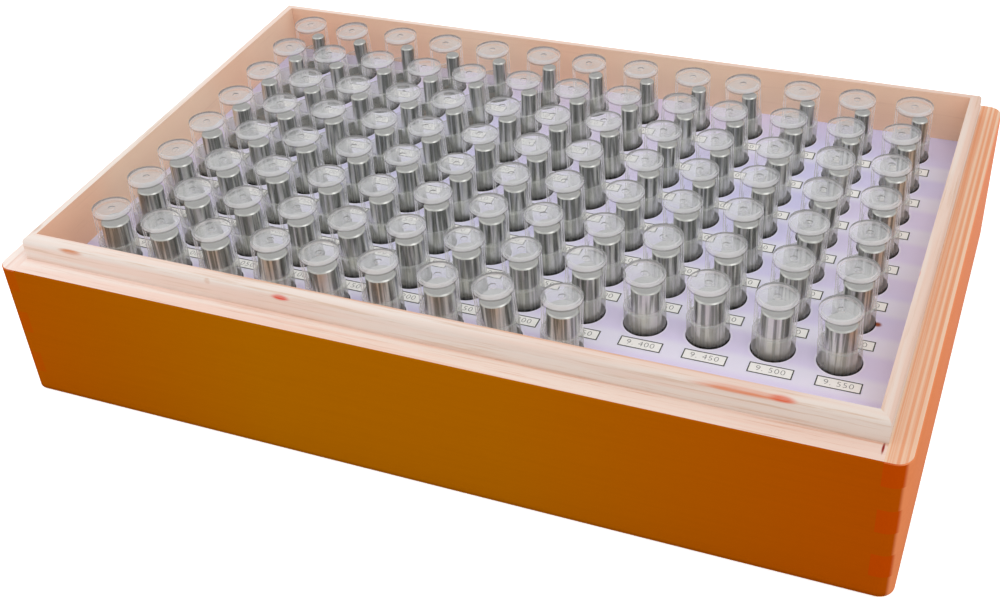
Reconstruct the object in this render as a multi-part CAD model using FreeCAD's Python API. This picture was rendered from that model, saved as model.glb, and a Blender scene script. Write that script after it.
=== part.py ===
"""Pin gauge set: one hundred steel pins in capped tubes, standing in a wooden case.

Millimetres, +Z up. The origin is the middle of the case's underside.
Column 1 is at -X and row 1 at +Y, the back. Sizes grow along each row and
from the back row to the front row.
"""

import FreeCAD, Part
import math
import os

# Gauge pins
first_gauge_diameter = 5.05
diameter_step = 0.05        # from each gauge to the next
gauge_length = 50.0
gauge_chamfer = 0.4

# The grid of tubes. The last row is short.
columns = 13
full_rows = 7
last_row_tubes = 9
column_pitch = 20.0
row_pitch = 20.2
end_margin = 17.0           # centre of the end columns to the inside of the lip
back_margin = 14.2          # centre of the back row to the inside of the lip
front_margin = 17.8         # centre of the front row to the inside of the lip

# Tube bodies: the lower moulding that a pin stands in
bore_clearance = 0.25       # radial, the largest gauge to the bore
tube_wall = 1.35
tube_floor = 1.0
tube_body_height = 43.2
spigot_wall = 0.45
spigot_height = 5.0

# Tube caps: the clear upper moulding, pushed over the body's spigot
cap_step = 0.2              # radial, tube body to cap
cap_fit = 0.05              # radial, skirt to spigot
gauge_headroom = 3.2        # from a gauge to the cap's roof
cap_roof = 1.0
cap_rim_width = 1.0
cap_rim_height = 0.8
gate_mark_diameter = 2.4    # moulding mark in the middle of the roof
gate_mark_height = 0.4

# How loosely the gauges and tubes stand
gauge_play = 0.1            # least space between a gauge and the wall it stands near
tube_lean_degrees = 4.0     # the largest lean
hole_clearance = 0.25       # radial, tube body to panel hole

# Panel with the holes
panel_thickness = 3.0
panel_top_height = 42.2     # above the underside of the case
panel_fit = 0.15            # round the edge of the panel

# Case boards, box-jointed at the corners
board_thickness = 7.4
board_height = 52.0
fingers_per_corner = 6
corner_radius = 5.0
top_arris = 0.3             # small chamfer round the outer top edge
foot_chamfer = 0.8          # round the outer bottom edge

# Bottom board, let into a rebate
bottom_thickness = 6.2
rebate_depth = 3.7
bottom_fit = 0.15

# Mitred lip strips, which stand on the panel and rise above the boards
lip_thickness = 3.6
lip_height = 60.4           # top of the lip above the underside of the case
lip_round = 2.0             # on the outer top edge

# Worked out from the sizes above
rows = full_rows + 1
tube_count = full_rows * columns + last_row_tubes
last_gauge_diameter = first_gauge_diameter + (tube_count - 1) * diameter_step
tube_bore = last_gauge_diameter + 2 * bore_clearance
tube_body_diameter = tube_bore + 2 * tube_wall
spigot_diameter = tube_bore + 2 * spigot_wall
cap_diameter = tube_body_diameter - 2 * cap_step
tube_inside_height = gauge_length + gauge_headroom
tube_height = tube_floor + tube_inside_height + cap_roof + cap_rim_height
cap_height = tube_height - tube_body_height
inner_length = (columns - 1) * column_pitch + 2 * end_margin
inner_depth = (rows - 1) * row_pitch + back_margin + front_margin
frame_length = inner_length + 2 * lip_thickness     # inside the boards
frame_depth = inner_depth + 2 * lip_thickness
case_length = frame_length + 2 * board_thickness
case_depth = frame_depth + 2 * board_thickness
panel_underside = panel_top_height - panel_thickness
hole_diameter = tube_body_diameter + 2 * hole_clearance
first_column_x = -inner_length / 2 + end_margin
first_row_y = inner_depth / 2 - back_margin

SIDES = ("front", "right", "back", "left")
touching = 1e-6             # two measures this close are the same


def block(length, depth, bottom, top):
    """An upright block centred on the origin."""
    corner = FreeCAD.Vector(-length / 2, -depth / 2, bottom)
    return Part.makeBox(length, depth, top - bottom, corner)


def upright_edges(shape):
    def is_upright(edge):
        box = edge.BoundBox
        return box.XLength < touching and box.YLength < touching

    return [edge for edge in shape.Edges if is_upright(edge)]


def edges_at_height(shape, height):
    def lies_flat(edge):
        box = edge.BoundBox
        return abs(box.ZMin - height) < touching and abs(box.ZMax - height) < touching

    return [edge for edge in shape.Edges if lies_flat(edge)]


def case_envelope():
    """The outside of the case as one block, with its round corners and soft arrises."""
    solid = block(case_length, case_depth, 0, board_height)
    solid = solid.makeFillet(corner_radius, upright_edges(solid))
    solid = solid.makeChamfer(foot_chamfer, edges_at_height(solid, 0))
    return solid.makeChamfer(top_arris, edges_at_height(solid, board_height))


def side_finger_bands():
    """Heights between which the side boards' fingers reach the front and back faces."""
    finger = board_height / fingers_per_corner
    tops = [board_height - index * finger for index in range(0, fingers_per_corner, 2)]
    return [(top - finger, top) for top in tops]


def side_fingers():
    """Blocks at all four corners that belong to the side boards."""
    fingers = []
    for low, high in side_finger_bands():
        whole = block(case_length, case_depth, low, high)
        between_ends = block(frame_length, case_depth, low, high)
        between_sides = block(case_length, frame_depth, low, high)
        fingers.append(whole.cut(between_ends).cut(between_sides))
    return fingers[0].fuse(fingers[1:])


def bottom_rebate():
    length = frame_length + 2 * rebate_depth
    depth = frame_depth + 2 * rebate_depth
    return block(length, depth, 0, bottom_thickness)


def case_boards():
    """The four boards by name, cut from one ring so that their joints meet."""
    ring = case_envelope().cut(block(frame_length, frame_depth, 0, board_height))
    ring = ring.cut(bottom_rebate())
    fingers = side_fingers()
    long_boards = ring.common(front_and_back_zone()).cut(fingers)
    end_boards = ring.cut(long_boards)
    front, back = sorted(long_boards.Solids, key=lambda solid: solid.CenterOfMass.y)
    left, right = sorted(end_boards.Solids, key=lambda solid: solid.CenterOfMass.x)
    return {"front": front, "right": right, "back": back, "left": left}


def front_and_back_zone():
    whole = block(case_length, case_depth, 0, board_height)
    return whole.cut(block(case_length, frame_depth, 0, board_height))


def bottom_board():
    length = frame_length + 2 * (rebate_depth - bottom_fit)
    depth = frame_depth + 2 * (rebate_depth - bottom_fit)
    return block(length, depth, 0, bottom_thickness)


def mitred_strips(bottom, top, top_round):
    """Four strips lining the boards, by side name, with 45-degree mitres."""
    ring = block(frame_length, frame_depth, bottom, top)
    if top_round > 0:
        ring = ring.makeFillet(top_round, edges_at_height(ring, top))
    ring = ring.cut(block(inner_length, inner_depth, bottom, top))
    outer = corners_of(frame_length, frame_depth)
    inner = corners_of(inner_length, inner_depth)
    strips = {}
    for index, side in enumerate(SIDES):
        after = (index + 1) % len(SIDES)
        outline = [outer[index], outer[after], inner[after], inner[index], outer[index]]
        outline = [FreeCAD.Vector(x, y, bottom) for x, y in outline]
        wedge = Part.Face(Part.makePolygon(outline)).extrude(FreeCAD.Vector(0, 0, top - bottom))
        strips[side] = ring.common(wedge).Solids[0]
    return strips


def corners_of(length, depth):
    """Corners of a rectangle, anticlockwise from the front left."""
    x = length / 2
    y = depth / 2
    return [(-x, -y), (x, -y), (x, y), (-x, y)]


def tubes_in_row(row):
    return last_row_tubes if row == rows else columns


def hole_centre(row, column):
    x = first_column_x + (column - 1) * column_pitch
    y = first_row_y - (row - 1) * row_pitch
    return FreeCAD.Vector(x, y, 0)


def hole_panel():
    length = frame_length - 2 * panel_fit
    depth = frame_depth - 2 * panel_fit
    panel = block(length, depth, panel_underside, panel_top_height)
    holes = []
    for row in range(1, rows + 1):
        for column in range(1, tubes_in_row(row) + 1):
            centre = hole_centre(row, column) + FreeCAD.Vector(0, 0, panel_underside)
            holes.append(Part.makeCylinder(hole_diameter / 2, panel_thickness, centre))
    return panel.cut(Part.makeCompound(holes))


def revolved(profile):
    """A solid turned about Z from (radius, height) points."""
    points = [FreeCAD.Vector(radius, 0, height) for radius, height in profile + profile[:1]]
    face = Part.Face(Part.makePolygon(points))
    return face.revolve(FreeCAD.Vector(0, 0, 0), FreeCAD.Vector(0, 0, 1), 360)


def tube_body():
    """Open-topped moulding with a thin spigot above its shoulder."""
    outer = tube_body_diameter / 2
    spigot = spigot_diameter / 2
    bore = tube_bore / 2
    rim = tube_body_height + spigot_height
    return revolved([
        (0, 0), (outer, 0), (outer, tube_body_height), (spigot, tube_body_height),
        (spigot, rim), (bore, rim), (bore, tube_floor), (0, tube_floor),
    ])


def tube_cap():
    """Closed moulding with a raised rim, its skirt resting on the body's shoulder."""
    outer = cap_diameter / 2
    skirt = spigot_diameter / 2 + cap_fit
    rim = outer - cap_rim_width
    mark = gate_mark_diameter / 2
    skirt_foot = tube_body_height
    top = skirt_foot + cap_height
    roof_top = top - cap_rim_height
    mark_top = roof_top + gate_mark_height
    roof_underside = roof_top - cap_roof
    return revolved([
        (skirt, skirt_foot), (outer, skirt_foot), (outer, top), (rim, top),
        (rim, roof_top), (mark, roof_top), (mark, mark_top), (0, mark_top),
        (0, roof_underside), (skirt, roof_underside),
    ])


def spread(index, ratio):
    """An even, repeatable scatter of values from 0 to 1."""
    return (index * ratio) % 1.0


def lean_of(index):
    """Direction, in radians about Z, and angle, in degrees, that one tube leans."""
    direction = 2 * math.pi * spread(index, 0.618034)
    angle = tube_lean_degrees * spread(index, 0.754878)
    return direction, angle


def stood_in_hole(shape, row, column, index):
    """Lean a tube's piece in its hole, with the tube's foot on the bottom board."""
    direction, angle = lean_of(index)
    pivot_height = panel_top_height - panel_thickness / 2
    centre = hole_centre(row, column)
    lift = tube_body_diameter / 2 * math.sin(math.radians(angle))
    drop = (pivot_height - bottom_thickness) * (1 - math.cos(math.radians(angle)))
    axis = FreeCAD.Vector(-math.sin(direction), math.cos(direction), 0)
    piece = shape.copy()
    piece.translate(centre + FreeCAD.Vector(0, 0, bottom_thickness))
    piece.rotate(centre + FreeCAD.Vector(0, 0, pivot_height), axis, angle)
    piece.translate(FreeCAD.Vector(0, 0, lift - drop))
    return piece


def gauge_pin(index):
    """One pin on its tube's floor, standing near the wall on the +X side."""
    radius = (first_gauge_diameter + index * diameter_step) / 2
    end = radius - gauge_chamfer
    pin = revolved([
        (0, 0), (end, 0), (radius, gauge_chamfer),
        (radius, gauge_length - gauge_chamfer), (end, gauge_length), (0, gauge_length),
    ])
    offset = tube_bore / 2 - radius - gauge_play
    pin.translate(FreeCAD.Vector(offset, 0, tube_floor))
    return pin


def row_groups():
    """Pins, tube bodies and caps of each row, as groups of separate solids."""
    body = tube_body()
    cap = tube_cap()
    groups = {}
    for row in range(1, rows + 1):
        pins, bodies, caps = [], [], []
        for column in range(1, tubes_in_row(row) + 1):
            index = (row - 1) * columns + column - 1
            place = (row, column, index)
            pins.append(stood_in_hole(gauge_pin(index), *place))
            bodies.append(stood_in_hole(body, *place))
            caps.append(stood_in_hole(cap, *place))
        groups[f"pins_row_{row}"] = Part.makeCompound(pins)
        groups[f"tube_bodies_row_{row}"] = Part.makeCompound(bodies)
        groups[f"tube_caps_row_{row}"] = Part.makeCompound(caps)
    return groups


def all_nodes():
    nodes = {f"{side}_board": board for side, board in case_boards().items()}
    nodes["bottom_board"] = bottom_board()
    for side, strip in mitred_strips(bottom_thickness, panel_underside, 0).items():
        nodes[f"panel_support_{side}"] = strip
    nodes["hole_panel"] = hole_panel()
    for side, strip in mitred_strips(panel_top_height, lip_height, lip_round).items():
        nodes[f"lip_{side}"] = strip
    nodes.update(row_groups())
    return nodes


os.makedirs("parts", exist_ok=True)
for name, shape in all_nodes().items():
    shape.exportStep(f"parts/{name}.step")
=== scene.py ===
"""Finish of a pin gauge set: a wooden case, a hole panel, clear tubes and steel pins.

Metres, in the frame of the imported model: +X right, +Y to the back, +Z up.
"""

import bpy
from mathutils import Matrix, Vector


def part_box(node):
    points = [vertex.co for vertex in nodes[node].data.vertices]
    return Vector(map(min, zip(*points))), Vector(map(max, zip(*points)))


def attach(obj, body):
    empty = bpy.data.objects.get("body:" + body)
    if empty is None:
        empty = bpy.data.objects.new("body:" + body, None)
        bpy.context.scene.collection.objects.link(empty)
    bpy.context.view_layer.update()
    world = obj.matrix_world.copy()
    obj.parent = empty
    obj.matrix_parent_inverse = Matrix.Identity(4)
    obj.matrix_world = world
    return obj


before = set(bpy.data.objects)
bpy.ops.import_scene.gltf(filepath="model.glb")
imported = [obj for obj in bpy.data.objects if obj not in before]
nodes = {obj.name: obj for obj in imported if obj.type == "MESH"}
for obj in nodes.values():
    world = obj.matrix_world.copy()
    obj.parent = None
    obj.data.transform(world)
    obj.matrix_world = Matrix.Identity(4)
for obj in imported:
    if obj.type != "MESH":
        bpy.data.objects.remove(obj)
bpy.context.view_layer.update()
scene = bpy.context.scene

MM = 0.001


# ---------------------------------------------------------------------------
# Case boards. Four boards of pale straight-grained softwood, box-jointed at
# the corners and lacquered outside in orange brown. Their top edges were
# planed after lacquering and show the bare wood.
# ---------------------------------------------------------------------------

def srgb(red, green, blue):
    """A display colour, 0 to 255, as the linear colour that shaders take."""
    def linear(channel):
        value = channel / 255
        return value / 12.92 if value <= 0.04045 else ((value + 0.055) / 1.055) ** 2.4

    return (linear(red), linear(green), linear(blue), 1.0)


def add(tree, kind, sockets=(), **properties):
    """Add one shader node; a socket's value is a number, a colour or another socket."""
    made = tree.nodes.new("ShaderNode" + kind)
    for name, value in properties.items():
        setattr(made, name, value)
    for name, value in dict(sockets).items():
        if isinstance(value, bpy.types.NodeSocket):
            tree.links.new(value, made.inputs[name])
        else:
            made.inputs[name].default_value = value
    return made


def calc(tree, operation, first, second=0.0, clamp=False):
    """The result of one maths node."""
    sockets = {0: first, 1: second}
    return add(tree, "Math", sockets, operation=operation, use_clamp=clamp).outputs[0]


def times(tree, first, second):
    """A value or mask multiplied by another."""
    return calc(tree, "MULTIPLY", first, second)


def blend(tree, factor, first, second):
    """Mix two colours by a factor."""
    sockets = {0: factor, 6: first, 7: second}
    return add(tree, "Mix", sockets, data_type="RGBA").outputs[2]


def ramp(tree, value, low, high):
    """A smooth step from 0 at low to 1 at high."""
    sockets = {"Value": value, "From Min": low, "From Max": high}
    return add(tree, "MapRange", sockets, interpolation_type="SMOOTHSTEP").outputs[0]


def new_group(name, inputs, outputs):
    """An empty shader group with named sockets, and its input and output nodes."""
    group = bpy.data.node_groups.new(name, "ShaderNodeTree")
    for direction, sockets in (("INPUT", inputs), ("OUTPUT", outputs)):
        for label, kind in sockets.items():
            group.interface.new_socket(label, in_out=direction, socket_type="NodeSocket" + kind)
    return group, group.nodes.new("NodeGroupInput"), group.nodes.new("NodeGroupOutput")


def new_material(name, **shader_values):
    """A material with one Principled shader, whose plain sockets are set by keyword."""
    material = bpy.data.materials.new(name)
    material.use_nodes = True
    tree = material.node_tree
    shader = tree.nodes["Principled BSDF"]
    for label, value in shader_values.items():
        shader.inputs[label.replace("_", " ")].default_value = value
    return material, tree, shader


def finish_node(name, material):
    """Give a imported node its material."""
    slots = nodes[name].data.materials
    slots.clear()
    slots.append(material)


def make_grain_group():
    """Straight softwood grain, drawn out along one axis by the stretch."""
    group, given, out = new_group(
        "softwood grain",
        {"Position": "Vector", "Stretch": "Vector", "Seed": "Float"},
        {"Bands": "Float", "Fibres": "Float", "Patches": "Float"},
    )
    position = given.outputs["Position"]
    seed = given.outputs["Seed"]
    stretched = {0: position, 1: given.outputs["Stretch"]}
    drawn = add(group, "VectorMath", stretched, operation="MULTIPLY").outputs[0]
    noises = {
        "Bands": {"Vector": drawn, "Scale": 1.0, "Detail": 3.0, "Roughness": 0.55, "Distortion": 0.3},
        "Fibres": {"Vector": drawn, "Scale": 5.0, "Detail": 4.0, "Roughness": 0.7},
        "Patches": {"Vector": position, "Scale": 14.0, "Detail": 1.0},
    }
    for label, settings in noises.items():
        noise = add(group, "TexNoise", {**settings, "W": seed}, noise_dimensions="4D")
        group.links.new(noise.outputs[0], out.inputs[label])
    return group


softwood_grain = make_grain_group()

# stretch of the grain: few repeats along the fibres, many across them
grain_along = {"X": (5.0, 190.0, 190.0), "Y": (190.0, 5.0, 190.0)}
wide_rings = (560.0, 2.0, 560.0)


def grain_in(tree, position, stretch, seed):
    """Place the grain in a material; its outputs are Bands, Fibres and Patches."""
    sockets = {"Position": position, "Stretch": stretch, "Seed": seed}
    return add(tree, "Group", sockets, node_tree=softwood_grain).outputs


def facing(tree, axis, low=0.55, high=0.8):
    """Masks of the faces that look along one axis: towards plus, and towards minus."""
    normal = add(tree, "NewGeometry").outputs["Normal"]
    part = add(tree, "SeparateXYZ", {0: normal}).outputs[axis]
    return ramp(tree, part, low, high), ramp(tree, times(tree, part, -1.0), low, high)


def spot(tree, position, centre, reach):
    """Soft-edged mask of an upright ellipsoid on the wood, in millimetres."""
    centre = [place * MM for place in centre]
    shrink = [1 / (radius * MM) for radius in reach]
    away = add(tree, "VectorMath", {0: position, 1: centre}, operation="SUBTRACT").outputs[0]
    shrunk = add(tree, "VectorMath", {0: away, 1: shrink}, operation="MULTIPLY").outputs[0]
    distance = add(tree, "VectorMath", {0: shrunk}, operation="LENGTH").outputs["Value"]
    return ramp(tree, distance, 1.0, 0.3)


def marked(tree, colour, position, marks, broken=1.0):
    """Spots laid over a colour: each has a centre, a reach, its own colour and a strength."""
    for centre, reach, tint, strength in marks:
        mask = times(tree, spot(tree, position, centre, reach), strength)
        colour = blend(tree, times(tree, mask, broken), colour, tint)
    return colour


def gradient(tree, value, stops):
    """A colour that changes along a value, from (millimetres, colour) stops."""
    low, high = stops[0][0], stops[-1][0]
    sockets = {"Value": value, "From Min": low * MM, "From Max": high * MM}
    node = add(tree, "ValToRGB", {0: add(tree, "MapRange", sockets).outputs[0]})
    band = node.color_ramp
    while len(band.elements) < len(stops):
        band.elements.new(0.5)
    for element, (place, colour) in zip(band.elements, stops):
        element.position = (place - low) / (high - low)
        element.color = colour
    return node.outputs[0]


def planed_wood(tree, grain, pale, streak, deep):
    """Bare softwood: pale wood with soft streaks and a few darker lines."""
    colour = blend(tree, ramp(tree, grain["Bands"], 0.42, 0.58), pale, streak)
    lines = ramp(tree, grain["Fibres"], 0.52, 0.68)
    return blend(tree, times(tree, lines, 0.75), colour, deep)


def grain_bump(tree, shader, grain):
    """Raise the fibres a little."""
    sockets = {"Height": grain["Fibres"], "Strength": 0.1, "Distance": 0.15 * MM}
    tree.links.new(add(tree, "Bump", sockets).outputs[0], shader.inputs["Normal"])


board_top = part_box("front_board")[1].z
case_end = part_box("front_board")[1].x / MM      # half the case's length
case_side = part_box("left_board")[1].y / MM      # half its depth
foot_lit = 2.6 * MM                             # painted shade darkens the lacquer towards the floor from here
foot_dark = 1.2 * MM                            # and is darkest from here down

# centre, reach, colour and strength of the glue that shows in a joint
glue_lines = [((139.5, -92.4, board_top / MM), (0.5, 3.2, 1.0), srgb(150, 50, 45), 1.0)]


def board_material(name, along, seed, face_stops, end_colour, top_stretch, top_colours):
    """Lacquered board: its faces, darkened by painted shade towards the floor, its finger ends and its
    planed top edge.
    """
    material, tree, shader = new_material(name, Specular_IOR_Level=0.0)
    position = add(tree, "TexCoord").outputs["Object"]
    parts = add(tree, "SeparateXYZ", {0: position}).outputs
    grain = grain_in(tree, position, grain_along[along], seed)
    fine = ramp(tree, grain["Fibres"], 0.35, 0.75)
    foot_shade = ramp(tree, parts["Z"], foot_lit, foot_dark)
    ends = calc(tree, "MAXIMUM", *facing(tree, along))
    face = gradient(tree, parts[along], face_stops)
    face = blend(tree, times(tree, fine, 0.07), face, srgb(120, 52, 0))
    # painted shade: the faces darken towards the floor
    face = blend(tree, times(tree, foot_shade, 0.35), face, srgb(110, 50, 0))
    face = blend(tree, ends, face, end_colour)
    shades = [gradient(tree, parts["X"], stops) for stops in top_colours]
    planed = planed_wood(tree, grain_in(tree, position, top_stretch, seed), *shades)
    planed = marked(tree, planed, position, glue_lines)
    top, _ = facing(tree, "Z", 0.75, 0.95)
    tree.links.new(blend(tree, top, face, planed), shader.inputs["Base Color"])
    rough = add(tree, "MapRange", {"Value": grain["Fibres"], "To Min": 0.42, "To Max": 0.6})
    tree.links.new(rough.outputs[0], shader.inputs["Roughness"])
    grain_bump(tree, shader, grain)
    return material


# lacquer along the long boards, from the left, and along the short ones, from the front
front_stops = (
    (-case_end, srgb(181, 88, 0)), (-110, srgb(179, 94, 0)), (-50, srgb(179, 105, 0)),
    (30, srgb(179, 102, 0)), (85, srgb(180, 91, 0)), (case_end, srgb(181, 78, 0)),
)
side_stops = (
    (-case_side, srgb(234, 140, 90)), (-40, srgb(240, 148, 102)), (case_side, srgb(244, 158, 122)),
)
# top edges: bare wood, its streaks and its dark lines, each from the left end to the right end
pale_top = (
    ((-case_end, srgb(255, 243, 236)), (10, srgb(246, 228, 216)), (case_end, srgb(240, 214, 200))),
    ((-case_end, srgb(253, 230, 220)), (10, srgb(242, 208, 190)), (case_end, srgb(234, 194, 176))),
    ((-case_end, srgb(238, 208, 194)), (10, srgb(226, 182, 156)), (case_end, srgb(220, 168, 140))),
)
orange_top = (
    ((-case_end, srgb(238, 204, 176)), (case_end, srgb(240, 206, 178))),
    ((-case_end, srgb(229, 158, 118)), (case_end, srgb(232, 160, 120))),
    ((-case_end, srgb(234, 212, 186)), (case_end, srgb(236, 212, 188))),
)

long_board_wood = board_material(
    "lacquered long board", "X", 1.0, front_stops, srgb(234, 141, 91), grain_along["X"], pale_top)
left_board_wood = board_material(
    "lacquered left board", "Y", 4.0, side_stops, srgb(186, 82, 0), grain_along["Y"], pale_top)
right_board_wood = board_material(
    "lacquered right board", "Y", 4.0, side_stops, srgb(190, 71, 0), wide_rings, orange_top)
finish_node("front_board", long_board_wood)
finish_node("back_board", long_board_wood)
finish_node("left_board", left_board_wood)
finish_node("right_board", right_board_wood)


# ---------------------------------------------------------------------------
# Lip strips, panel supports and bottom board. Mitred strips of the same
# softwood, bare on top and outside; the lips' inner faces are stained peach.
# ---------------------------------------------------------------------------

lip_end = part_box("lip_front")[1].x / MM         # half the lip's length
foot_shade_height = 1.4 * MM                            # height of the painted shade line where the lips leave the boards

# bare wood, its streaks and its dark lines, each from the left end to the right end
lip_colours = (
    ((-lip_end, srgb(246, 234, 226)), (lip_end, srgb(232, 218, 208))),
    ((-lip_end, srgb(247, 224, 212)), (lip_end, srgb(230, 200, 184))),
    ((-lip_end, srgb(228, 198, 176)), (lip_end, srgb(212, 178, 152))),
)
# centre, reach, colour and strength of each knot and resin streak
lip_marks = (
    ((10.0, -86.9, 60.5), (135.0, 0.8, 0.8), srgb(216, 160, 124), 0.8),
    ((-121.5, -90.3, 58.6), (6.0, 2.0, 1.3), srgb(220, 140, 95), 1.0),
    ((-69.5, -90.3, 58.6), (1.5, 2.0, 1.4), srgb(214, 160, 120), 0.6),
    ((-43.5, -90.3, 58.2), (4.0, 2.0, 1.4), srgb(232, 88, 70), 1.0),
    ((100.0, -90.3, 59.4), (19.0, 2.5, 1.5), srgb(226, 146, 112), 1.0),
    ((111.5, -90.3, 59.5), (5.0, 2.5, 1.3), srgb(226, 108, 76), 1.0),
    ((136.3, -14.0, 60.4), (0.9, 9.0, 2.0), srgb(226, 160, 125), 0.9),
    ((136.6, -23.5, 60.4), (0.8, 3.0, 2.0), srgb(226, 80, 70), 1.0),
    ((-138.6, -84.0, 60.4), (1.0, 3.5, 2.0), srgb(205, 165, 140), 0.7),
)


def strip_wood(name, along, seed):
    """Bare softwood, stained peach on the faces that look in to the middle of the case."""
    material, tree, shader = new_material(name, Specular_IOR_Level=0.0, Roughness=0.5)
    position = add(tree, "TexCoord").outputs["Object"]
    parts = add(tree, "SeparateXYZ", {0: position}).outputs
    grain = grain_in(tree, position, grain_along[along], seed)
    broken = add(tree, "MapRange", {"Value": grain["Fibres"], "From Min": 0.35, "From Max": 0.6,
                                    "To Min": 0.25, "To Max": 1.0}).outputs[0]
    # painted shade: a darker line along the foot of each lip, where it leaves the board, broken up by the
    # grain
    foot_shade = times(tree, ramp(tree, parts["Z"], board_top + foot_shade_height, board_top), 0.4)
    outside = planed_wood(tree, grain, *[gradient(tree, parts["X"], stops) for stops in lip_colours])
    outside = blend(tree, times(tree, foot_shade, broken), outside, srgb(216, 176, 144))
    outside = marked(tree, outside, position, lip_marks, broken)
    clouds = ramp(tree, grain["Patches"], 0.35, 0.65)
    fibres = ramp(tree, grain["Fibres"], 0.56, 0.74)
    inside = blend(tree, clouds, srgb(255, 220, 193), srgb(255, 206, 176))
    inside = blend(tree, times(tree, fibres, 0.2), inside, srgb(200, 140, 112))
    normal = add(tree, "NewGeometry").outputs["Normal"]
    level = add(tree, "VectorMath", {0: position, 1: (1, 1, 0)}, operation="MULTIPLY").outputs[0]
    outward = add(tree, "VectorMath", {0: normal, 1: level}, operation="DOT_PRODUCT").outputs["Value"]
    inner_face = ramp(tree, outward, -0.01, -0.03)
    tree.links.new(blend(tree, inner_face, outside, inside), shader.inputs["Base Color"])
    grain_bump(tree, shader, grain)
    return material


for side, along, seed in (("front", "X", 7.0), ("back", "X", 11.0),
                          ("left", "Y", 13.0), ("right", "Y", 17.0)):
    wood = strip_wood(f"{side} strip wood", along, seed)
    finish_node(f"lip_{side}", wood)
    finish_node(f"panel_support_{side}", wood)
finish_node("bottom_board", strip_wood("bottom sheet", "X", 23.0))


# ---------------------------------------------------------------------------
# Hole panel. One plastic sheet printed in pale violet, paler along the rows of labels. The cut walls of
# the holes are painted dark, as shade in the holes.
# ---------------------------------------------------------------------------

columns = 13
full_rows = 7
rows = full_rows + 1                    # counted from the back; the last one is short
last_row_tubes = 9
column_pitch = 20.0 * MM
row_pitch = 20.2 * MM
left_margin = 17.0 * MM                 # from the left lip to the first column of holes
back_margin = 14.2 * MM                 # from the back lip to the first row of holes
first_column_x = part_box("lip_left")[1].x + left_margin
first_row_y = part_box("lip_back")[0].y - back_margin
label_shift = (1.8 * MM, -10.5 * MM)    # label centre from hole centre
panel_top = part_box("hole_panel")[1].z
ring_edge = 7.55 * MM                   # radius where the pale ring round a hole ends
ring_full = 7.3 * MM                    # and inside which it is palest
band_edge = 6.5 * MM                    # half width of the paler band along a row of labels
band_full = 2.5 * MM                    # and of its palest part

# centre, reach, colour and strength of a stain on the print
panel_marks = [((127.2, -27.9, panel_top / MM), (1.8, 1.6, 1.0), srgb(160, 82, 52), 1.0)]


def nearest(tree, value, start, pitch, count):
    """Distance to the nearest of a counted row of evenly pitched lines, and its number."""
    along = calc(tree, "DIVIDE", calc(tree, "SUBTRACT", value, start), pitch)
    number = calc(tree, "MAXIMUM", calc(tree, "MINIMUM", calc(tree, "ROUND", along), count - 1.0), 0.0)
    return times(tree, calc(tree, "SUBTRACT", along, number), pitch), number


def nearest_hole(tree, parts):
    """Distances in X and Y from the nearest hole's axis, and that hole's column and row."""
    across, column = nearest(tree, parts["X"], first_column_x, column_pitch, columns)
    deep, row = nearest(tree, parts["Y"], first_row_y, -row_pitch, rows)
    return across, deep, column, row


def hole_ring(tree, parts):
    """Mask of a thin ring round every hole, none where the short last row has ended."""
    across, deep, column, row = nearest_hole(tree, parts)
    square = calc(tree, "ADD", times(tree, across, across), times(tree, deep, deep))
    ring = ramp(tree, calc(tree, "SQRT", square), ring_edge, ring_full)
    short_row = calc(tree, "GREATER_THAN", row, full_rows - 0.5)
    beyond = calc(tree, "GREATER_THAN", column, last_row_tubes - 0.5)
    return times(tree, ring, calc(tree, "SUBTRACT", 1.0, times(tree, short_row, beyond)))


def panel_print():
    """Violet print on the panel's top, paler along the labels; the cut walls are painted dark as shade in
    the holes.
    """
    material, tree, shader = new_material("printed panel", Specular_IOR_Level=0.1, Roughness=0.55)
    position = add(tree, "TexCoord").outputs["Object"]
    parts = add(tree, "SeparateXYZ", {0: position}).outputs
    from_labels, _ = nearest(tree, parts["Y"], first_row_y + label_shift[1], -row_pitch, rows)
    band = ramp(tree, calc(tree, "ABSOLUTE", from_labels), band_edge, band_full)
    hue = add(tree, "TexNoise", {"Vector": position, "Scale": 16.0, "Detail": 1.0}).outputs[0]
    colour = blend(tree, ramp(tree, hue, 0.35, 0.65), srgb(217, 213, 248), srgb(227, 217, 246))
    colour = blend(tree, times(tree, band, 0.55), colour, srgb(240, 240, 248))
    colour = blend(tree, times(tree, hole_ring(tree, parts), 0.25), colour, srgb(255, 255, 255))
    colour = marked(tree, colour, position, panel_marks)
    # painted shade: every face but the top is dark, for the shadow in the gaps round the tubes
    top, _ = facing(tree, "Z")
    tree.links.new(blend(tree, top, srgb(60, 56, 60), colour), shader.inputs["Base Color"])
    return material


finish_node("hole_panel", panel_print())


# ---------------------------------------------------------------------------
# Size labels. Printed cards with a thin frame and the pin's size in plain
# figures, one in front of each hole.
# ---------------------------------------------------------------------------

card_size = (13.4 * MM, 4.7 * MM)
card_lift = 0.05 * MM
ink_lift = 0.08 * MM
frame_line = 0.36 * MM
figure_size = 3.3 * MM
figure_spacing = 1.1                    # of the usual way from one figure to the next
figure_thinning = 0.02                  # taken off each stroke's edges, as a share of the figures' size
first_pin = 5.05
pin_step = 0.05


def new_piece(name, vertices, faces, material, slot):
    """A mesh piece that belongs to the case."""
    mesh = bpy.data.meshes.new(name)
    mesh.from_pydata(vertices, [], faces)
    mesh.materials.append(material)
    piece = bpy.data.objects.new(name, mesh)
    scene.collection.objects.link(piece)
    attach(piece, "root")


def label_places(row):
    """Centre and printed size of each label in a row, counted from the back."""
    for column in range(columns if row < full_rows else last_row_tubes):
        x = first_column_x + column * column_pitch + label_shift[0]
        y = first_row_y - row * row_pitch + label_shift[1]
        yield x, y, first_pin + (row * columns + column) * pin_step


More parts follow.
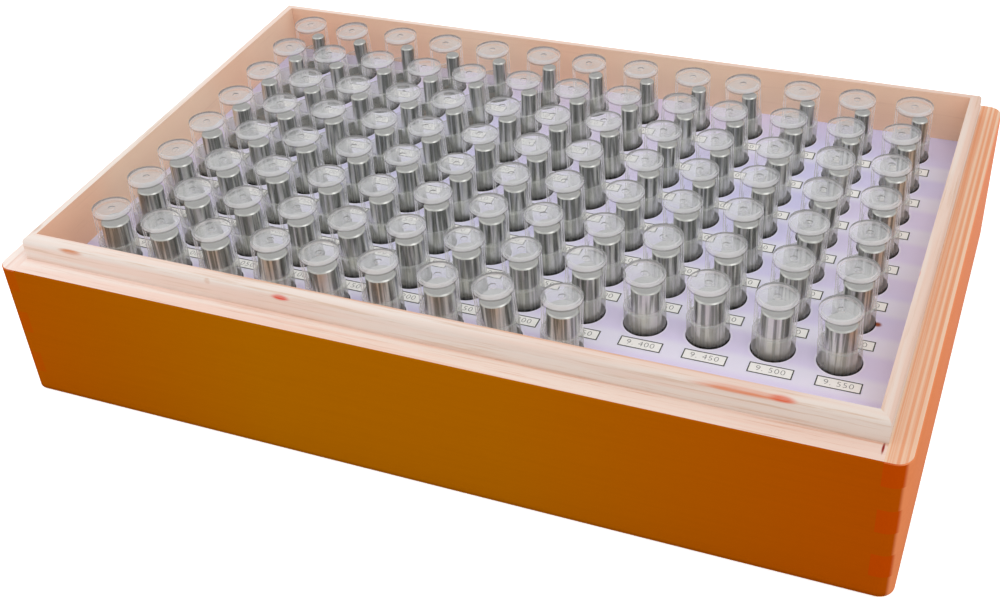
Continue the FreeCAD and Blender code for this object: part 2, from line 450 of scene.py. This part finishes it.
def rectangle(x, y, z, width, depth):
    """The corners of a level rectangle, anticlockwise from above."""
    half_width, half_depth = width / 2, depth / 2
    return [(x - half_width, y - half_depth, z), (x + half_width, y - half_depth, z),
            (x + half_width, y + half_depth, z), (x - half_width, y + half_depth, z)]


def card_mesh(row):
    """The cards in a row, one flat face each."""
    vertices, faces = [], []
    for x, y, _ in label_places(row):
        start = len(vertices)
        vertices += rectangle(x, y, panel_top + card_lift, *card_size)
        faces.append([start, start + 1, start + 2, start + 3])
    return vertices, faces


def frame_mesh(row):
    """The printed frames in a row, a line round the edge of each card."""
    vertices, faces = [], []
    inner_size = (card_size[0] - 2 * frame_line, card_size[1] - 2 * frame_line)
    for x, y, _ in label_places(row):
        start = len(vertices)
        vertices += rectangle(x, y, panel_top + ink_lift, *card_size)
        vertices += rectangle(x, y, panel_top + ink_lift, *inner_size)
        for corner in range(4):
            after = (corner + 1) % 4
            faces.append([start + corner, start + after, start + 4 + after, start + 4 + corner])
    return vertices, faces


def figures_mesh(row):
    """The sizes in a row, as flat outlines of plain figures."""
    vertices, faces = [], []
    for x, y, size in label_places(row):
        whole, decimals = f"{size:.3f}".split(".")
        curve = bpy.data.curves.new("figures", "FONT")
        curve.body = f"{whole}. {decimals}"
        curve.size = figure_size
        curve.space_character = figure_spacing
        curve.offset = -figure_thinning * figure_size
        curve.resolution_u = 3
        curve.align_x = "CENTER"
        curve.align_y = "CENTER"
        lettering = bpy.data.objects.new("figures", curve)
        mesh = bpy.data.meshes.new_from_object(lettering)
        start = len(vertices)
        vertices += [(x + v.co.x, y + v.co.y, panel_top + ink_lift) for v in mesh.vertices]
        faces += [[start + index for index in face.vertices] for face in mesh.polygons]
        bpy.data.objects.remove(lettering)
        bpy.data.curves.remove(curve)
        bpy.data.meshes.remove(mesh)
    return vertices, faces


def mottled_print(name, specular, scale, first, second):
    """Matt card or ink, whose colour wavers between two shades."""
    material, tree, shader = new_material(name, Roughness=0.6, Specular_IOR_Level=specular)
    position = add(tree, "TexCoord").outputs["Object"]
    mottle = add(tree, "TexNoise", {"Vector": position, "Scale": scale, "Detail": 2.0})
    tree.links.new(blend(tree, mottle.outputs[0], first, second), shader.inputs["Base Color"])
    return material


card_paper = mottled_print("label card", 0.2, 900.0, srgb(252, 250, 248), srgb(244, 242, 238))
figure_ink = mottled_print("figure ink", 0.1, 1500.0, srgb(84, 84, 84), srgb(120, 120, 122))
frame_ink = mottled_print("frame ink", 0.1, 1500.0, srgb(48, 50, 44), srgb(80, 82, 76))
for row in range(rows):
    new_piece(f"label_cards_row_{row + 1}", *card_mesh(row), card_paper, "panel")
    new_piece(f"label_frames_row_{row + 1}", *frame_mesh(row), frame_ink, "panel")
    new_piece(f"label_figures_row_{row + 1}", *figures_mesh(row), figure_ink, "panel")


# ---------------------------------------------------------------------------
# Tubes. Injection-moulded in two pieces: a slightly milky body that stands
# in the panel and a clear cap with a raised rim.
# ---------------------------------------------------------------------------

cap_height = 12.8 * MM
shoulder_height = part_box("tube_caps_row_1")[0].z
cap_top = shoulder_height + cap_height

# depths below a cap's top, from where a band begins to where it is full; these bands hold the rim's
# painted highlights and dark refraction lines
rim_band = (0.9 * MM, 0.6 * MM)
under_rim_band = (1.6 * MM, 1.2 * MM)
far_rim_band = (0.8 * MM, 0.5 * MM)
top_ring_band = (0.5 * MM, 0.0 * MM)

# heights on a body, from where a change begins to where it is full
milk_band = (0.9 * MM, 0.3 * MM)        # above the shoulder, from clear to milky
shade_band = (1.6 * MM, -0.1 * MM)      # above the panel, from lit to the dark of the hole


def seen_through(tree, shader, alpha):
    """Set the alpha that the camera sees; light and reflections pass freely."""
    camera = add(tree, "LightPath").outputs["Is Camera Ray"]
    tree.links.new(times(tree, alpha, camera), shader.inputs["Alpha"])


def near_top(tree, height, band):
    """Mask of what lies above a band of depths below the cap's top."""
    begins, full = band
    return ramp(tree, height, cap_top - begins, cap_top - full)


def wall_sides(tree, parts):
    """Masks of a tube's outside on the near side and on the far side, and of its bore."""
    surface = add(tree, "NewGeometry").outputs
    across, deep, _, _ = nearest_hole(tree, parts)
    from_axis = add(tree, "CombineXYZ", {"X": across, "Y": deep}).outputs[0]
    turned = add(tree, "VectorMath", {0: surface["Normal"], 1: from_axis}, operation="DOT_PRODUCT")
    outward = calc(tree, "GREATER_THAN", turned.outputs["Value"], 0.0)
    near = times(tree, outward, calc(tree, "SUBTRACT", 1.0, surface["Backfacing"]))
    far = times(tree, surface["Backfacing"], calc(tree, "SUBTRACT", 1.0, outward))
    return near, far, calc(tree, "SUBTRACT", 1.0, calc(tree, "ADD", near, far))


def clear_cap():
    """Thin clear plastic, near invisible face on. Its pale edges and rim lines are painted highlights and
    refraction, and its grey roof a painted reflection of the sky.
    """
    material, tree, shader = new_material("clear cap", Roughness=0.2, Specular_IOR_Level=0.5)
    position = add(tree, "TexCoord").outputs["Object"]
    parts = add(tree, "SeparateXYZ", {0: position}).outputs
    height = parts["Z"]
    near, far, bore = wall_sides(tree, parts)
    rim = near_top(tree, height, rim_band)
    under_rim = calc(tree, "SUBTRACT", near_top(tree, height, under_rim_band), rim, clamp=True)
    under_rim = times(tree, under_rim, near)
    far_rim = times(tree, near_top(tree, height, far_rim_band), far)
    # painted highlights: the walls turn pale and dense towards their edges
    edge = add(tree, "LayerWeight", {"Blend": 0.5}).outputs["Facing"]
    wall = calc(tree, "ADD", times(tree, ramp(tree, edge, 0.6, 0.85), 0.5), 0.02)
    # painted rim: pale highlight lines on the near side and in the bore, dark refraction lines below the
    # rim and at its far side
    for mask, alpha in ((times(tree, rim, near), 0.45), (times(tree, rim, bore), 0.5),
                        (under_rim, 0.4), (far_rim, 0.85)):
        wall = calc(tree, "MAXIMUM", wall, times(tree, mask, alpha))
    # painted reflection of the sky: the level roof is a streaked, half clear grey with a paler ring at the
    # top
    swirl = add(tree, "TexNoise", {"Vector": position, "Scale": 160.0, "Detail": 0.0}).outputs[0]
    roof_reflection = add(tree, "MapRange", {"Value": swirl, "From Min": 0.3, "From Max": 0.7,
                                  "To Min": 0.24, "To Max": 0.37}).outputs[0]
    roof_reflection = calc(tree, "MAXIMUM", roof_reflection, times(tree, near_top(tree, height, top_ring_band), 0.3))
    level = calc(tree, "MAXIMUM", *facing(tree, "Z", 0.8, 0.95))
    seen_through(tree, shader, add(tree, "Mix", {0: level, 2: wall, 3: roof_reflection}).outputs[0])
    # painted refraction: the dark lines of the rim; white elsewhere for the highlights, grey on the roof
    # for the reflection
    dark = calc(tree, "MAXIMUM", under_rim, far_rim)
    colour = blend(tree, dark, srgb(250, 249, 252), srgb(84, 78, 74))
    colour = blend(tree, level, colour, srgb(206, 207, 208))
    tree.links.new(colour, shader.inputs["Base Color"])
    return material


def milky_body():
    """Translucent grey below the shoulder, with painted shade darkening it into the hole; clear above it,
    with pale edges painted as highlights.
    """
    material, tree, shader = new_material("milky tube", Roughness=0.3, Specular_IOR_Level=0.4)
    position = add(tree, "TexCoord").outputs["Object"]
    height = add(tree, "SeparateXYZ", {0: position}).outputs["Z"]
    edge = add(tree, "LayerWeight", {"Blend": 0.5}).outputs["Facing"]
    below = ramp(tree, height, shoulder_height + milk_band[0], shoulder_height + milk_band[1])
    # painted highlights: the clear part turns pale towards its edges
    clear = calc(tree, "ADD", times(tree, ramp(tree, edge, 0.6, 0.85), 0.4), 0.02)
    milky = calc(tree, "ADD", times(tree, edge, 0.35), 0.18)
    seen_through(tree, shader, add(tree, "Mix", {0: below, 2: clear, 3: milky}).outputs[0])
    # painted shade where the body goes down into the hole
    shade = ramp(tree, height, panel_top + shade_band[0], panel_top + shade_band[1])
    colour = blend(tree, shade, srgb(200, 202, 194), srgb(46, 44, 46))
    tree.links.new(colour, shader.inputs["Base Color"])
    return material


cap_plastic = clear_cap()
body_plastic = milky_body()
for row in range(rows):
    finish_node(f"tube_caps_row_{row + 1}", cap_plastic)
    finish_node(f"tube_bodies_row_{row + 1}", body_plastic)


# ---------------------------------------------------------------------------
# Pins. Hardened steel, ground and lapped, with small chamfers at the ends. Each stands loose in its tube.
# Their light and dark streaks are painted reflections.
# ---------------------------------------------------------------------------

def steel_with_painted_streaks():
    """Light and dark streaks along each pin, painted reflections; a paler chamfer, a painted highlight;
    the ends are a paler matt.
    """
    material, tree, shader = new_material("steel with painted streaks", Metallic=1.0)
    position = add(tree, "TexCoord").outputs["Object"]
    drawn = add(tree, "VectorMath", {0: position, 1: (1000.0, 1000.0, 6.0)}, operation="MULTIPLY")
    lines = add(tree, "TexNoise", {"Vector": drawn.outputs[0], "Scale": 1.0, "Detail": 3.0}).outputs[0]
    bevel_highlight, _ = facing(tree, "Z", 0.3, 0.6)
    end, _ = facing(tree, "Z", 0.8, 0.95)
    # painted reflections: light and dark streaks along each pin
    colour = blend(tree, ramp(tree, lines, 0.4, 0.62), srgb(130, 134, 124), srgb(222, 224, 213))
    # painted highlight on the chamfer
    colour = blend(tree, bevel_highlight, colour, srgb(188, 189, 184))
    colour = blend(tree, end, colour, srgb(176, 176, 174))
    tree.links.new(colour, shader.inputs["Base Color"])
    rough = add(tree, "MapRange", {"Value": end, "To Min": 0.32, "To Max": 0.5})
    tree.links.new(rough.outputs[0], shader.inputs["Roughness"])
    return material


pin_steel = steel_with_painted_streaks()
for row in range(rows):
    finish_node(f"pins_row_{row + 1}", pin_steel)
    nodes[f"pins_row_{row + 1}"].data.shade_smooth()


# ---------------------------------------------------------------------------
# Studio. A pale floor that fades to white and keeps the case's soft shadow,
# a white surround and two large soft lamps.
# ---------------------------------------------------------------------------

floor_width = 6.0
floor_glow = 0.72                       # shown to the camera, on top of the light that falls on the floor
surround_light = 0.86                   # what falls on the case; the camera sees 1, plain white


def make_floor():
    """A pale floor with a glow that only the camera, metal and glass see."""
    mesh = bpy.data.meshes.new("floor")
    mesh.from_pydata(rectangle(0, 0, 0, floor_width, floor_width), [], [[0, 1, 2, 3]])
    floor = bpy.data.objects.new("floor", mesh)
    scene.collection.objects.link(floor)
    material, tree, shader = new_material(
        "pale floor", Base_Color=(0.85, 0.85, 0.85, 1), Roughness=0.9, Specular_IOR_Level=0.0)
    glow = add(tree, "Emission", {"Color": (1, 1, 1, 1), "Strength": floor_glow})
    dark = add(tree, "Emission", {"Color": (0, 0, 0, 1), "Strength": 0.0})
    ray = add(tree, "LightPath").outputs
    seen = calc(tree, "MAXIMUM", ray["Is Glossy Ray"], ray["Is Transmission Ray"])
    seen = calc(tree, "MAXIMUM", ray["Is Camera Ray"], seen)
    shown = add(tree, "MixShader", {0: seen, 1: dark.outputs[0], 2: glow.outputs[0]})
    total = add(tree, "AddShader", {0: shader.outputs[0], 1: shown.outputs[0]})
    tree.links.new(total.outputs[0], tree.nodes["Material Output"].inputs["Surface"])
    mesh.materials.append(material)


def make_surround():
    """A white world, dimmer as a source of light than as a backdrop."""
    world = bpy.data.worlds.new("surround")
    scene.world = world
    world.use_nodes = True
    tree = world.node_tree
    tree.nodes.clear()
    ray = add(tree, "LightPath").outputs
    seen = calc(tree, "MAXIMUM", ray["Is Camera Ray"], ray["Is Transmission Ray"])
    level = add(tree, "MapRange", {"Value": seen, "To Min": surround_light, "To Max": 1.0})
    backdrop = add(tree, "Background", {"Color": (1, 1, 1, 1), "Strength": level.outputs[0]})
    tree.links.new(backdrop.outputs[0], add(tree, "OutputWorld").inputs["Surface"])


def soft_lamp(name, place, aim, size, power):
    """A rectangular lamp turned to a point."""
    data = bpy.data.lights.new(name, "AREA")
    data.shape = "RECTANGLE"
    data.size, data.size_y = size
    data.energy = power
    lamp = bpy.data.objects.new(name, data)
    scene.collection.objects.link(lamp)
    lamp.location = place
    lamp.rotation_mode = "QUATERNION"
    lamp.rotation_quaternion = (Vector(aim) - Vector(place)).to_track_quat("-Z", "Y")


make_floor()
make_surround()
case_middle = (0.0, 0.0, 0.03)
soft_lamp("key", (0.5, -0.2, 0.9), case_middle, (0.5, 0.5), 1.2)
soft_lamp("fill", (-0.7, -0.3, 0.8), case_middle, (0.6, 0.4), 0.5)


# ---------------------------------------------------------------------------
# Camera. It stands in front of the case, right of its middle and above it,
# rolled a little.
# ---------------------------------------------------------------------------

camera_place = Vector((163.8, -378.7, 315.0)) * MM
camera_forward = Vector((-0.33476, 0.7243, -0.60277))
camera_right = Vector((0.9241, 0.37747, -0.05964))
camera_up = camera_right.cross(camera_forward)

camera_data = bpy.data.cameras.new("camera")
camera_data.sensor_width = 36.0
camera_data.lens = 50.94
camera_data.clip_start = 0.01
camera = bpy.data.objects.new("camera", camera_data)
scene.collection.objects.link(camera)
turn = Matrix((camera_right, camera_up, -camera_forward)).transposed()
camera.matrix_world = Matrix.LocRotScale(camera_place, turn.to_quaternion(), None)
scene.camera = camera


# ---------------------------------------------------------------------------
# Plain colours and short light paths, with depth enough for a line of sight through a whole row of clear
# tubes.
# ---------------------------------------------------------------------------

scene.view_settings.view_transform = "Standard"
scene.cycles.max_bounces = 4
scene.cycles.diffuse_bounces = 2
scene.cycles.glossy_bounces = 2
scene.cycles.transparent_max_bounces = 32
